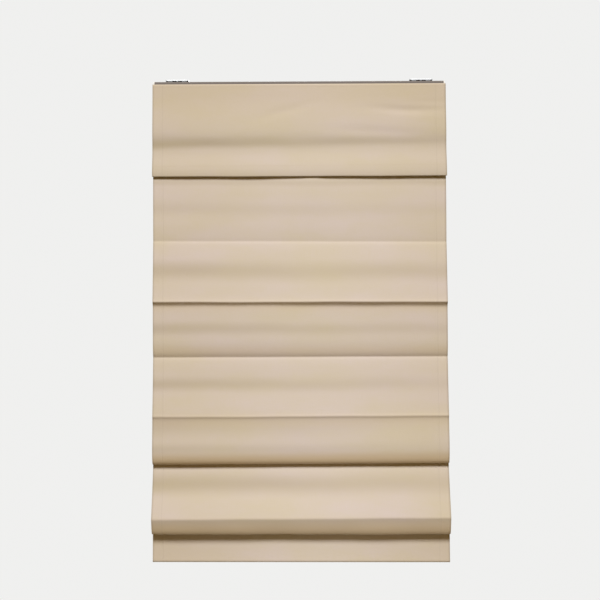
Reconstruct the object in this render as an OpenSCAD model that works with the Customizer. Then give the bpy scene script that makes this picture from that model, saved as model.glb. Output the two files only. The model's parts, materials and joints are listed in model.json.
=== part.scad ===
// Roman blind with a spring lift: one length of folded cloth and a loose valance on a steel head rail,
// battens in tapes behind the cloth, two lift cords on spools, and a bar in the bottom hem.
// Millimetres. The origin lies on the window head, midway between the two brackets.
// +Z is up, and the front of the blind faces -Y.

/* [Cloth] */
// Width of the shade cloth
cloth_w = 584; // [480:1:900]
// Height from the window head to the foot of the bottom hem
drop = 959; // [760:1:1300]
// Reach of the deepest fold in front of the fold backs
fold_reach = 38; // [32:1:46]
// Thickness of the cloth
cloth_t = 0.8; // [0.6:0.1:1]
// Depth of the soft storage crease half way down a panel
crease_dent = 0.8; // [0:0.1:2]
// Length of cloth in which a sharp fold turns, on each side of its line
crease_l = 2.5; // [2:0.1:4]
// Radius at the middle of the cloth where a fold closes on itself
fold_r = 1; // [0.8:0.1:1.4]

/* [Valance] */
// How far the valance stands past each side of the shade cloth
valance_overhang = 1.5; // [0:0.5:6]
// Height from the window head to the top edge of the valance
valance_top = 10.5; // [10:0.5:13]
// Length of the valance from its top edge to its foot
valance_h = 189; // [130:1:230]
// Reach of the valance's foot in front of the shade cloth
valance_reach = 11.5; // [8:0.5:20]
// Depth of the hem turned up behind the valance's foot
valance_hem = 25; // [15:1:40]

/* [Head rail] */
// How far the cloth stands past each end of the head rail
rail_inset = 0; // [0:0.5:10]
// Depth of the steel channel from front to back
rail_d = 40; // [39:0.5:46]
// Height of the channel
rail_h = 32; // [31:0.5:40]
// Thickness of the channel's steel
rail_t = 1.2; // [0.8:0.1:1.4]
// Width of the lips turned in along the channel's top
rail_lip = 7; // [6.5:0.5:8]
// Outside radius of the channel's bends
rail_bend = 2.4; // [2:0.1:3]
// Thickness of an end cap
cap_t = 2; // [1.5:0.1:4]
// Length of an end cap's plug inside the channel
cap_plug = 8; // [5:0.5:15]
// Wall of an end cap's plug
cap_wall = 1.5; // [1:0.1:2.5]
// Height of the hook strip and the loop strip
strip_h = 20; // [14:1:20]
// Thickness of each strip
strip_t = 1; // [0.8:0.1:1.6]

/* [Brackets] */
// Distance from an end of the channel to the middle of its bracket
bracket_inset = 45; // [36:1:50]
// Length of a bracket along the rail
bracket_l = 46; // [44:1:52]
// Thickness of a bracket's steel
bracket_t = 1.5; // [1.2:0.1:2.2]
// How far a bracket's plate stops short of the rail's front and passes its back
bracket_shift = 3; // [2:0.5:4]
// Distance between the two screws of a bracket, as a share of the rail's depth
screw_pitch_share = 0.6; // [0.5:0.05:0.65]
// Diameter of the screw holes
screw_d = 4.5; // [4:0.1:5]
// Width of each front hook
hook_w = 9; // [6:0.5:9.5]
// Distance from the middle of a bracket to its hooks and to its latch
hook_offset = 14; // [13.5:0.5:15]
// Distance from the rail's middle back to the latch's pivot
latch_back = 6; // [5:0.5:7]
// Thickness of the latch's lever and of its cam
latch_t = 2.2; // [1.8:0.1:3]
// Radius of the latch's hub
latch_hub_r = 4.5; // [4:0.1:5]
// Width of the latch's lever
latch_w = 8; // [6:0.5:9]
// How far the lever stands out behind the rail
latch_tab = 10; // [6:0.5:16]
// How far the cam reaches under the rail's back lip
cam_bite = 4.5; // [3:0.1:5]
// Radius of the latch's rivet
rivet_r = 2; // [1.6:0.1:2.4]

/* [Lift] */
// Distance from a side of the cloth to its lift cord
cord_inset = 107; // [100:1:116]
// Diameter of the lift cords
cord_d = 1.4; // [1:0.1:1.6]
// Width across the flats of the lift shaft
shaft_af = 5; // [4:0.1:5.5]
// Height of the lift shaft above the channel's floor
shaft_rise = 13.6; // [12.8:0.1:14.5]
// Radius at the middle of the wound cord, as a share of half the rail's depth
winding_share = 0.4; // [0.38:0.01:0.42]
// Space between a spool's flanges and the rail's front wall
spool_gap = 1; // [0.6:0.1:1.6]
// Length of drum between a spool's flanges
spool_l = 24; // [20:1:30]
// Thickness of the flanges of spools and drums
flange_t = 1.2; // [0.8:0.1:2]
// Radius of the journals of spools and of the output drum
journal_r = 4.6; // [4.2:0.1:4.9]
// Wall of the cradles and of the motor case at their bearings
bearing_wall = 2.6; // [2.4:0.1:3.5]
// Thickness of the floors of the cradles and of the motor case
tray_floor = 1.6; // [1:0.1:2]
// Radius of the cord's way through a cradle
guide_r = 2; // [1.4:0.1:2.4]
// Wall of a cradle's cord guide
guide_wall = 1.4; // [1:0.1:2]
// How far the cord guides stand out below the rail
guide_foot = 1.5; // [1:0.1:3]

/* [Spring motor] */
// Width of the flat spring
spring_w = 16; // [12:0.5:30]
// Thickness of the flat spring's strip
spring_t = 0.4; // [0.3:0.1:0.6]
// Space round the drums' flanges in the motor case
drum_gap = 0.65; // [0.5:0.05:0.9]
// Radius of a drum's core, as a share of its flanges' radius
drum_core_share = 0.6; // [0.56:0.01:0.62]
// How far the output drum's flanges stand past the spring's turns
coil_margin = 0.7; // [0.5:0.1:1.2]
// Turns of the spring on the storage drum while the blind is down
storage_turns = 2; // [1:1:3]
// Radius of the storage drum's axle
axle_r = 1.5; // [1:0.1:2.5]
// Thickness of the motor case's long walls
case_wall = 1.2; // [0.8:0.1:1.3]
// Thickness of the motor's cover
cover_t = 1.6; // [1:0.1:2.5]
// Radius of the pegs under the motor's cover
peg_r = 0.75; // [0.5:0.05:0.8]
// Length of the pegs under the motor's cover
peg_l = 4; // [2:0.5:6]

/* [Battens] */
// Diameter of the batten rods
batten_d = 4; // [3:0.1:5]
// How far a batten stops short of each side of the cloth
batten_inset = 5; // [3:0.5:12]
// How far a batten's tape stops short of each side of the cloth
tape_inset = 2; // [0:0.5:2.5]
// Thickness of one layer of batten tape
tape_t = 0.5; // [0.3:0.1:0.8]
// Radius of the cord's way through a ring
ring_way_r = 3; // [2:0.1:3.4]
// Diameter of the ring's wire
ring_wire = 1.8; // [1.2:0.1:2.2]
// Diameter of the stops at the cords' ends
stop_d = 8.4; // [8:0.1:11]

/* [Bottom bar] */
// Height of the bar in the hem
bar_h = 25; // [18:0.5:30]
// Thickness of the bar
bar_t = 5; // [4:0.1:7]
// Wall of the bar
bar_wall = 0.9; // [0.6:0.1:1.2]
// How far the bar's caps stop short of each side of the cloth
bar_inset = 4; // [2:0.5:12]
// Height above the bar at which the hem's two layers meet
hem_ease = 8; // [5:0.5:15]
// Height of the seam allowance above that
hem_lap = 10; // [6:0.5:16]
// Thickness of a bar cap's outer plate
bar_cap_t = 3; // [2:0.5:5]
// Length of a bar cap's tongue inside the bar
bar_tongue = 12; // [6:1:20]

/* [Fits] */
// Space between pieces that slide or swing past each other
play = 0.3; // [0.2:0.05:0.4]
// Space round a piece that is pushed into another
fit = 0.1; // [0.05:0.05:0.2]
// Radial space of a running journal, axle or rivet
running = 0.05; // [0.02:0.01:0.08]
// Space between layers of cloth that lie on each other
lay = 0.2; // [0.1:0.05:0.4]

/* [Hidden] */
$fn = 64;
batten_numbers = [1, 2, 3, 4];
side_names = ["left", "right"];
function numbered(name) = [for (k = batten_numbers) str(name, "_", k)];
function sided(name) = [for (side = side_names) str(name, "_", side)];

// How far cuts run past the faces that they open
overrun = 1;

// Heights and depths of the head rail
rail_top = -(bracket_t + latch_t + 2 * play);
rail_mid = rail_top - rail_h / 2;
rail_foot = rail_top - rail_h;
rail_floor = rail_foot + rail_t;
rail_half = rail_d / 2;
rail_l = cloth_w - 2 * (rail_inset + cap_t);
lip_under = rail_top - rail_t;
lip_edge = rail_half - rail_lip;
tray_w = rail_d - 2 * (rail_t + fit);
tray_bend = rail_bend - rail_t;
tray_foot_w = tray_w - 2 * tray_bend;

// Places of the brackets and of the lift
bracket_x = rail_l / 2 - bracket_inset;
latch_x = bracket_x - hook_offset;
screw_pitch = rail_d * screw_pitch_share;
rivet_head_r = rivet_r + bracket_t / 2;
lever_top = -bracket_t - play;
cam_top = lip_under - play;
cam_foot = cam_top - latch_t;
cam_reach = lip_edge + cam_bite - latch_back;
cord_x = cloth_w / 2 - cord_inset;
winding_r = rail_half * winding_share;
spool_r = winding_r - play - cord_d / 2;
spool_flange_r = rail_half - rail_t - spool_gap - winding_r;
cord_y = 0;
shaft_y = cord_y - winding_r;
shaft_z = rail_floor + shaft_rise;
shaft_r = shaft_af / (2 * cos(30));

// Widths of the spools and of the spring motor along the shaft
spool_span = spool_l + 2 * flange_t;
cradle_l = spool_span + 2 * (play + bearing_wall);
drum_l = spring_w + 2 * play;
drum_span = drum_l + 2 * flange_t;
case_l = drum_span + 2 * (play + bearing_wall);
case_half = tray_w / 2 - case_wall;
output_flange_r = case_half + shaft_y - drum_gap;
output_core_r = output_flange_r * drum_core_share;
output_coil_r = output_flange_r - coil_margin;
storage_flange_r = (case_half - shaft_y - output_flange_r) / 2 - drum_gap;
storage_core_r = storage_flange_r * drum_core_share;
storage_coil_r = storage_core_r + play + storage_turns * spring_t;
storage_y = case_half - drum_gap - storage_flange_r;
drum_pitch = storage_y - shaft_y;
case_top = shaft_z + output_flange_r + play;

// The cloth's section is drawn as [reach to the front, height]; its middle hangs at cloth_y.
cloth_y = -(rail_half + 2 * strip_t + cloth_t / 2);
cloth_top = -(valance_top + cloth_t);
strip_top = cloth_top - strip_t;
tape_front = cloth_y + cloth_t / 2 + play;
ring_r = ring_way_r + ring_wire / 2;
tape_loop_r = batten_d / 2 + fit + tape_t;
batten_y = cord_y - ring_r - ring_wire / 2 - lay - tape_loop_r;

function at(reach_share, height_share) = [fold_reach * reach_share, -drop * height_share];

// Fold lines and turning points of the cloth, as shares of the deepest reach and of the drop
ridge_0 = at(0.13, 0.2138);
valley_1 = at(0, 0.3412);
ridge_1 = at(0.42, 0.4669);
valley_2 = at(0, 0.5806);
ridge_2 = at(0.47, 0.7017);
belly = at(0.44, 0.7775);
valley_3 = at(0, 0.7967) - [fold_r / 2, 0];
ridge_3 = at(1, 0.9095);
underside = at(0.63, 0.9368);
back_rise = at(0.25, 0.9211);
valley_4 = at(0, 0.8713) + [2 * fold_r, 0];
valley_heights = [valley_1[1], valley_2[1], valley_3[1], valley_4[1]];

// Section of the bottom hem round its bar
hem_reach_share = 0.18;
hem_reach = fold_reach * hem_reach_share;
hem_r = bar_t / 2 + play + cloth_t / 2;
hem_turn = hem_r + cloth_t / 2 - drop;
bar_l = cloth_w - 2 * (bar_inset + bar_cap_t);
bar_y = cloth_y - hem_reach + hem_r;
bar_z = -drop + cloth_t + play + bar_h / 2;
bar_top = bar_z + bar_h / 2;
hem_top = [hem_reach, bar_top + hem_ease + hem_lap];
hem_front = [hem_reach, hem_turn];
hem_back = [hem_reach - 2 * hem_r, hem_turn];
hem_end = hem_top - [cloth_t + lay, 0];

// Runs of the cloth between those points: start, heading there, end, heading there, pull share
// at the start, pull share at the end, and share of the storage crease.
// A heading is in degrees from straight down, positive towards the front.
shade_runs = [
    [[0, cloth_top], 0, [0, rail_foot], 0, 0.3, 0.3, 0],
    [[0, rail_foot], 0, ridge_0, 3, 0.4, 0.3, 0],
    [ridge_0, 3, valley_1, -14, 0.3, 0.2, 0.8],
    [valley_1, 15, ridge_1, 13, 0.26, 0.26, 1],
    [ridge_1, -34, valley_2, -39, 0.18, 0.2, 1],
    [valley_2, 16, ridge_2, 15, 0.26, 0.26, 1],
    [ridge_2, -23, belly, -16, 0.15, 0.3, 0],
    [belly, -16, valley_3, -95, 1.02, 0.5, 0],
    [valley_3, 15, ridge_3, 14, 0.2, 0.3, 0.8],
    [ridge_3, -24, underside, -38, 0.3, 0.3, 0],
    [underside, -38, back_rise, -172, 0.6, 0.7, 0],
    [back_rise, -172, valley_4, -175, 0.3, 0.3, 0],
    [valley_4, -175, valley_4 - [2 * fold_r, 0], 4, 0.66, 0.66, 0],
    [valley_4 - [2 * fold_r, 0], 4, hem_top, 0, 0.3, 0.3, 0],
    [hem_top, 0, hem_front, 0, 0.3, 0.3, 0],
    [hem_front, 0, hem_back, -180, 0.66, 0.66, 0],
    [hem_back, -180, [hem_back[0], bar_top], -180, 0.3, 0.3, 0],
    [[hem_back[0], bar_top], -180, hem_end, -180, 0.4, 0.4, 0]
];

// Section of the valance: a flat seam on the cloth, a soft hollow, a roll and a hem turned up behind
valance_foot = -(valance_top + valance_h);
valance_seam_share = 0.12;
valance_hollow_share = 0.61;
valance_hollow_reach_share = 0.4;
valance_line = cloth_t + lay;
valance_low = [valance_reach, valance_foot + fold_r + cloth_t / 2];
valance_seam = [valance_line, -(valance_top + valance_h * valance_seam_share)];
valance_hollow = [
    valance_reach * valance_hollow_reach_share,
    -(valance_top + valance_h * valance_hollow_share)
];
valance_runs = [
    [[valance_line, -valance_top], 0, valance_seam, 0, 0.3, 0.3, 0],
    [valance_seam, 0, valance_hollow, -10, 0.4, 0.3, 0],
    [valance_hollow, -10, valance_low, -6, 0.35, 0.35, 0],
    [valance_low, -6, valance_low - [2 * fold_r, 0], -186, 0.66, 0.66, 0],
    [valance_low - [2 * fold_r, 0], -186, valance_low + [-4 * fold_r, valance_hem], -176,
        0.3, 0.3, 0]
];

most_steps = 12;
least_steps = 6;
crease_steps = 4;
dent_width_share = 0.13;

function heading(angle) = [sin(angle), -cos(angle)];
function curve(p, t) =
    pow(1 - t, 3) * p[0] + 3 * t * pow(1 - t, 2) * p[1] + 3 * t * t * (1 - t) * p[2] + t * t * t * p[3];
function dent(share, t) = [-crease_dent * share * exp(-pow((t - 0.5) / dent_width_share, 2)), 0];
function creased(runs, i) = i >= 0 && i < len(runs) - 1 && abs(runs[i][3] - runs[i + 1][1]) > 1;
function run_start(runs, i) = runs[i][0] + (creased(runs, i - 1) ? crease_l : 0) * heading(runs[i][1]);
function run_end(runs, i) = runs[i][2] - (creased(runs, i) ? crease_l : 0) * heading(runs[i][3]);
function run_frame(runs, i) =
    let (a = run_start(runs, i), b = run_end(runs, i), span = norm(b - a))
    [a, a + runs[i][4] * span * heading(runs[i][1]), b - runs[i][5] * span * heading(runs[i][3]), b];
function run_steps(frame) = norm(frame[3] - frame[0]) > 3 * fold_r ? most_steps : least_steps;
function run_points(runs, i) =
    let (frame = run_frame(runs, i), steps = run_steps(frame), first = i == 0 || creased(runs, i - 1) ? 0 : 1)
    [for (k = [first:steps]) curve(frame, k / steps) + dent(runs[i][6], k / steps)];
function crease_points(runs, i) =
    let (a = run_end(runs, i), b = runs[i][2], c = run_start(runs, i + 1))
    [for (k = [1:crease_steps - 1])
        let (t = k / crease_steps)
        pow(1 - t, 2) * a + 2 * t * (1 - t) * b + t * t * c];
function section_path(runs) =
    [for (i = [0:len(runs) - 1])
        each concat(run_points(runs, i), creased(runs, i) ? crease_points(runs, i) : [])];

// A path moved sideways by a distance, positive towards its front
function beside(path, distance) =
    let (last = len(path) - 1)
    [for (i = [0:last])
        let (way = path[min(i + 1, last)] - path[max(i - 1, 0)])
        path[i] + distance / norm(way) * [-way[1], way[0]]];
function turned(list) = [for (i = [len(list) - 1:-1:0]) list[i]];
function in_place(path) = [for (p = path) [cloth_y - p[0], p[1]]];

module along_x(length) {
    rotate([90, 0, 90]) linear_extrude(height = length, center = true) children();
}

module on_side(side) {
    mirror([side == "left" ? 1 : 0, 0, 0]) children();
}

module rounded(width, height, radius) {
    square([width - 2 * radius, height], center = true);
    square([width, height - 2 * radius], center = true);
    for (x = [-1, 1], y = [-1, 1]) {
        translate([x * (width / 2 - radius), y * (height / 2 - radius)]) circle(radius);
    }
}

module flat_oval(width, height) {
    square([width, height - width], center = true);
    for (y = [-1, 1]) {
        translate([0, y * (height - width) / 2]) circle(width / 2);
    }
}

module hanging_cloth(runs, width) {
    path = section_path(runs);
    outline = concat(beside(path, cloth_t / 2), turned(beside(path, -cloth_t / 2)));
    color([0.83, 0.76, 0.69]) along_x(width) polygon(in_place(outline));
}

module shade_cloth() {
    hanging_cloth(shade_runs, cloth_w);
}

module valance() {
    hanging_cloth(valance_runs, cloth_w + 2 * valance_overhang);
}

module headrail() {
    color([0.88, 0.88, 0.86]) difference() {
        translate([0, 0, rail_mid]) along_x(rail_l) difference() {
            rounded(rail_d, rail_h, rail_bend);
            rounded(rail_d - 2 * rail_t, rail_h - 2 * rail_t, rail_bend - rail_t);
            translate([-lip_edge, 0]) square([2 * lip_edge, rail_h]);
        }
        for (x = [-cord_x, cord_x]) {
            translate([x, cord_y, rail_foot - overrun])
                cylinder(r = guide_r + guide_wall + fit, h = rail_t + 2 * overrun);
        }
    }
}

module headrail_end_cap(side) {
    plug_l = cap_plug + cap_t / 2;
    plug_h = rail_h - 2 * (rail_t + fit);
    color([0.93, 0.93, 0.91]) on_side(side) translate([rail_l / 2, 0, rail_mid]) {
        translate([cap_t / 2, 0, 0]) along_x(cap_t) rounded(rail_d, rail_h, rail_bend);
        translate([plug_l / 2 - cap_plug, 0, 0]) along_x(plug_l) difference() {
            rounded(tray_w, plug_h, tray_bend);
            square([tray_w - 2 * cap_wall, plug_h - 2 * cap_wall], center = true);
        }
    }
}

module strip(front) {
    translate([0, front + strip_t / 2, strip_top - strip_h / 2])
        cube([rail_l, strip_t, strip_h], center = true);
}

module hook_strip() {
    color([0.95, 0.95, 0.93]) strip(-rail_half - strip_t);
}

module loop_strip() {
    color([0.90, 0.87, 0.82]) strip(-rail_half - 2 * strip_t);
}

module front_hook() {
    web_front = play - lip_edge;
    toe_top = lip_under - play;
    toe_front = rail_t + play - rail_half;
    translate([0, web_front + bracket_t / 2, (toe_top - bracket_t) / 2])
        cube([hook_w, bracket_t, -toe_top], center = true);
    translate([-hook_w / 2, toe_front, toe_top - bracket_t])
        cube([hook_w, web_front + bracket_t - toe_front, bracket_t]);
}

module mounting_bracket(side) {
    color([0.80, 0.81, 0.82]) on_side(side) difference() {
        translate([bracket_x, 0, 0]) {
            translate([0, bracket_shift, -bracket_t]) linear_extrude(height = bracket_t)
                rounded(bracket_l, rail_d, rail_bend);
            for (x = [-hook_offset, hook_offset]) {
                translate([x, 0, 0]) front_hook();
            }
        }
        for (y = [-screw_pitch / 2, screw_pitch / 2]) {
            translate([bracket_x, y, -bracket_t - overrun])
                cylinder(d = screw_d, h = bracket_t + 2 * overrun);
        }
        translate([latch_x, latch_back, 0]) {
            translate([0, 0, -bracket_t - overrun])
                cylinder(r = rivet_r + running, h = bracket_t + 2 * overrun);
            translate([0, 0, -bracket_t / 2])
                cylinder(r = rivet_head_r + running, h = bracket_t / 2 + overrun);
        }
    }
}

module latch_rivet(side) {
    foot_r = (rivet_r + latch_hub_r) / 2;
    shank_l = play - cam_foot;
    color([0.65, 0.66, 0.68]) on_side(side) translate([latch_x, latch_back, 0]) {
        translate([0, 0, -shank_l]) cylinder(r = rivet_r, h = shank_l);
        translate([0, 0, -bracket_t / 2]) cylinder(r = rivet_head_r, h = bracket_t / 2);
        translate([0, 0, -shank_l - bracket_t]) cylinder(r = foot_r, h = bracket_t);
    }
}

module bracket_latch(side) {
    lever_l = rail_half + latch_tab - latch_back - latch_w / 2;
    cam_r = latch_w / 2;
    color([0.96, 0.96, 0.95]) on_side(side) translate([latch_x, latch_back, 0]) difference() {
        union() {
            translate([0, 0, cam_foot]) cylinder(r = latch_hub_r, h = lever_top - cam_foot);
            translate([0, 0, lever_top - latch_t]) linear_extrude(height = latch_t) {
                translate([-latch_w / 2, 0]) square([latch_w, lever_l]);
                translate([0, lever_l]) circle(latch_w / 2);
            }
            translate([0, 0, cam_foot]) linear_extrude(height = latch_t) {
                translate([-cam_r, 0]) square([2 * cam_r, cam_reach - cam_r]);
                translate([0, cam_reach - cam_r]) circle(cam_r);
            }
        }
        translate([0, 0, cam_foot - overrun])
            cylinder(r = rivet_r + running, h = lever_top - cam_foot + 2 * overrun);
    }
}

// Outline of a bearing wall: a post round the journal, on a foot across the rail, with a snap slot above
module bearing_outline(foot_top) {
    post_r = journal_r + bearing_wall;
    snap_share = 0.9;
    difference() {
        union() {
            translate([-tray_foot_w / 2, rail_floor]) square([tray_foot_w, foot_top - rail_floor]);
            translate([shaft_y, shaft_z]) circle(post_r);
            translate([shaft_y - post_r, rail_floor]) square([2 * post_r, shaft_z - rail_floor]);
        }
        translate([shaft_y, shaft_z]) circle(journal_r + running);
        translate([shaft_y - journal_r * snap_share, shaft_z]) square([2 * journal_r * snap_share, rail_h]);
    }
}

module spool_cradle(side) {
    guide_l = tray_floor + rail_t + guide_foot;
    color([0.92, 0.93, 0.94]) on_side(side) difference() {
        union() {
            translate([cord_x - cradle_l / 2, -tray_foot_w / 2, rail_floor])
                cube([cradle_l, tray_foot_w, tray_floor]);
            for (x = [-1, 1]) {
                translate([cord_x + x * (cradle_l - bearing_wall) / 2, 0, 0])
                    along_x(bearing_wall) bearing_outline(rail_floor + 2 * tray_floor);
            }
            translate([cord_x, cord_y, rail_floor + tray_floor - guide_l])
                cylinder(r = guide_r + guide_wall, h = guide_l);
        }
        translate([cord_x, cord_y, rail_foot - guide_foot - overrun])
            cylinder(r = guide_r, h = guide_l + 2 * overrun);
    }
}

module on_shaft(x) {
    translate([x, shaft_y, shaft_z]) rotate([0, 90, 0]) children();
}

// A spool or drum between two flanges, with a journal past each of them
module spool_body(core_r, flange_r, core_l, journal_l, end_r) {
    cylinder(r = core_r, h = core_l, center = true);
    for (end = [-1, 1]) {
        translate([0, 0, end * (core_l + flange_t) / 2]) cylinder(r = flange_r, h = flange_t, center = true);
        translate([0, 0, end * (core_l / 2 + flange_t + journal_l / 2)])
            cylinder(r = end_r, h = journal_l, center = true);
    }
}

module hex_bore(length) {
    cylinder(r = shaft_r + fit, h = length, center = true, $fn = 6);
}

module cord_spool(side) {
    journal_l = 2 * play + bearing_wall;
    color([0.25, 0.26, 0.28]) on_side(side) on_shaft(cord_x) difference() {
        spool_body(spool_r, spool_flange_r, spool_l, journal_l, journal_r);
        hex_bore(spool_span + 2 * journal_l + 2 * overrun);
    }
}

module lift_shaft() {
    color([0.72, 0.73, 0.75]) on_shaft(0)
        cylinder(r = shaft_r, h = 2 * cord_x + cradle_l + 2 * bearing_wall, center = true, $fn = 6);
}

module lift_cord(side) {
    cord_foot = valley_heights[3] - ring_wire / 2 - lay - stop_d;
    color([0.95, 0.94, 0.90]) on_side(side) translate([cord_x, cord_y, cord_foot])
        cylinder(d = cord_d, h = shaft_z - cord_foot);
}

module cord_stop(side) {
    stop_z = valley_heights[3] - ring_wire / 2 - lay - stop_d / 2;
    color([0.94, 0.94, 0.92]) on_side(side) translate([cord_x, cord_y, stop_z]) difference() {
        sphere(d = stop_d);
        cylinder(r = cord_d / 2 + play, h = stop_d + overrun, center = true);
    }
}

module peg_places() {
    for (x = [-1, 1], y = [-1, 1]) {
        translate([x * (case_l - bearing_wall) / 2, y * (tray_w / 2 - bearing_wall), case_top]) children();
    }
}

// Cross section of the motor case, with its lower corners in the channel's bends
module case_outline(height) {
    translate([-tray_w / 2, rail_floor + tray_bend]) square([tray_w, height - tray_bend]);
    translate([-tray_foot_w / 2, rail_floor]) square([tray_foot_w, height]);
    for (y = [-1, 1]) {
        translate([y * tray_foot_w / 2, rail_floor + tray_bend]) circle(tray_bend);
    }
}

module spring_motor_case() {
    case_h = case_top - rail_floor;
    inner_l = case_l - 2 * bearing_wall;
    color([0.86, 0.87, 0.88]) difference() {
        along_x(case_l) case_outline(case_h);
        translate([0, 0, rail_floor + tray_floor + case_h / 2])
            cube([inner_l, 2 * case_half, case_h], center = true);
        for (x = [-1, 1]) {
            on_shaft(x * (inner_l + bearing_wall) / 2)
                cylinder(r = journal_r + running, h = bearing_wall + overrun, center = true);
            translate([x * (inner_l + bearing_wall) / 2, shaft_y, shaft_z + case_h / 2])
                cube([bearing_wall + overrun, 2 * journal_r, case_h], center = true);
        }
        translate([0, storage_y, shaft_z]) rotate([0, 90, 0])
            cylinder(r = axle_r + running, h = case_l + overrun, center = true);
        peg_places() translate([0, 0, -peg_l - fit]) cylinder(r = peg_r + running, h = peg_l + fit + overrun);
    }
}

module spring_motor_cover() {
    color([0.90, 0.91, 0.92]) {
        translate([0, 0, case_top + cover_t / 2]) cube([case_l, tray_w, cover_t], center = true);
        peg_places() translate([0, 0, -peg_l]) cylinder(r = peg_r, h = peg_l + cover_t / 2);
    }
}

module output_drum() {
    journal_l = play + bearing_wall;
    color([0.25, 0.26, 0.28]) on_shaft(0) difference() {
        spool_body(output_core_r, output_flange_r, drum_l, journal_l, journal_r);
        hex_bore(drum_span + 2 * journal_l + 2 * overrun);
    }
}

module storage_drum() {
    color([0.30, 0.31, 0.33]) translate([0, storage_y, shaft_z]) rotate([0, 90, 0]) difference() {
        spool_body(storage_core_r, storage_flange_r, drum_l, play / 2, storage_core_r);
        cylinder(r = axle_r + running, h = case_l, center = true);
    }
}

module storage_axle() {
    color([0.65, 0.66, 0.68]) translate([0, storage_y, shaft_z]) rotate([0, 90, 0])
        cylinder(r = axle_r, h = case_l, center = true);
}

// The spring's turns on both drums, and the strip that crosses over between them
module flat_spring() {
    output_line = output_coil_r - spring_t;
    storage_line = storage_coil_r - spring_t;
    cross = acos((output_line + storage_line) / drum_pitch);
    strip_l = drum_pitch * sin(cross);
    color([0.55, 0.57, 0.60]) translate([0, shaft_y, shaft_z]) along_x(spring_w) {
        difference() {
            circle(output_coil_r);
            circle(output_core_r + play);
        }
        translate([drum_pitch, 0]) difference() {
            circle(storage_coil_r);
            circle(storage_core_r + play);
        }
        rotate(cross) translate([output_line, 0]) rotate(-90) translate([0, -spring_t / 2])
            square([strip_l, spring_t]);
    }
}

module batten(k) {
    color([0.93, 0.94, 0.90]) translate([0, batten_y, valley_heights[k - 1]]) rotate([0, 90, 0])
        cylinder(d = batten_d, h = cloth_w - 2 * batten_inset, center = true);
}

module batten_tape(k) {
    color([0.80, 0.73, 0.66]) translate([0, batten_y, valley_heights[k - 1]])
        along_x(cloth_w - 2 * tape_inset) difference() {
            union() {
                circle(tape_loop_r);
                translate([tape_front - batten_y, -tape_t]) square([batten_y - tape_front, 2 * tape_t]);
            }
            circle(batten_d / 2 + fit);
        }
}

module cord_rings(k) {
    color([0.95, 0.95, 0.93]) for (x = [-cord_x, cord_x]) {
        translate([x, cord_y, valley_heights[k - 1]])
            rotate_extrude() translate([ring_r, 0]) circle(d = ring_wire);
    }
}

module bottom_bar() {
    color([0.78, 0.79, 0.80]) translate([0, bar_y, bar_z]) along_x(bar_l) difference() {
        flat_oval(bar_t, bar_h);
        flat_oval(bar_t - 2 * bar_wall, bar_h - 2 * bar_wall);
    }
}

module bottom_bar_cap(side) {
    tongue_t = bar_t - 2 * (bar_wall + fit);
    tongue_h = bar_h - 2 * (bar_wall + fit);
    tongue_l = bar_tongue + bar_cap_t / 2;
    color([0.93, 0.93, 0.91]) on_side(side) translate([bar_l / 2, bar_y, bar_z]) {
        translate([bar_cap_t / 2, 0, 0]) along_x(bar_cap_t) flat_oval(bar_t, bar_h);
        translate([tongue_l / 2 - bar_tongue, 0, 0]) along_x(tongue_l) flat_oval(tongue_t, tongue_h);
    }
}

headrail();
hook_strip();
loop_strip();
shade_cloth();
valance();
for (side = side_names) {
    headrail_end_cap(side);
    mounting_bracket(side);
    latch_rivet(side);
    bracket_latch(side);
    spool_cradle(side);
    cord_spool(side);
    lift_cord(side);
    cord_stop(side);
    bottom_bar_cap(side);
}
lift_shaft();
spring_motor_case();
spring_motor_cover();
output_drum();
storage_drum();
storage_axle();
flat_spring();
bottom_bar();
for (k = batten_numbers) {
    batten(k);
    batten_tape(k);
    cord_rings(k);
}
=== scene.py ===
"""Roman blind: folded cloth, valance, stitching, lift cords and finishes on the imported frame."""

import json
import math
import random

import bpy
import numpy as np
from bpy.props import FloatProperty, FloatVectorProperty, IntProperty, PointerProperty
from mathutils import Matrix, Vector


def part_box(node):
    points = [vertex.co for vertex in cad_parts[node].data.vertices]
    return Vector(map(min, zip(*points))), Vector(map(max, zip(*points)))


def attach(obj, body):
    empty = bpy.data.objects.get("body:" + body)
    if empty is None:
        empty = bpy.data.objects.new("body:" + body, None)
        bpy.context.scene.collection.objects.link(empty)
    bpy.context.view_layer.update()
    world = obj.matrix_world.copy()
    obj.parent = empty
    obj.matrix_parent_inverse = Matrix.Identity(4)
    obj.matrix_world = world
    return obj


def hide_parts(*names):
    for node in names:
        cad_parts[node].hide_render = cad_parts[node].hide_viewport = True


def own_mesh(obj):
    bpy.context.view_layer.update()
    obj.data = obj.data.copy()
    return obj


bl_info = {
    "name": "Roman blind",
    "version": (1, 0, 0),
    "blender": (4, 5, 0),
    "location": "View3D > Sidebar > Blind",
    "description": "Dresses a roman blind with folded cloth, stitching, lift cords and finishes",
    "category": "Object",
}

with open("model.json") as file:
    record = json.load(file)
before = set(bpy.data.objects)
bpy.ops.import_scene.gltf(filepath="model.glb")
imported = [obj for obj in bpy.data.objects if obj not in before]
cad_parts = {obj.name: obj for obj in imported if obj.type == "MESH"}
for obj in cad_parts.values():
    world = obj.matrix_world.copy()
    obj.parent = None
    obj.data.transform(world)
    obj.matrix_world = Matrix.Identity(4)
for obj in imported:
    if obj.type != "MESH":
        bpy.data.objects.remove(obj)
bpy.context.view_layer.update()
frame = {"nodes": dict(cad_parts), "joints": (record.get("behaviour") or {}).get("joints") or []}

# Places that the frame gives, in metres
SHADE_LOW, SHADE_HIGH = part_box("shade_cloth")
VALANCE_LOW, VALANCE_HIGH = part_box("valance")
RAIL_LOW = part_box("headrail")[0]
BAR_LOW, BAR_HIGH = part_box("bottom_bar")
STRIP_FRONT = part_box("loop_strip")[0].y
LIFT = next(j for j in frame["joints"] if j["name"] == "lift")["range_m"][1]
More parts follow.
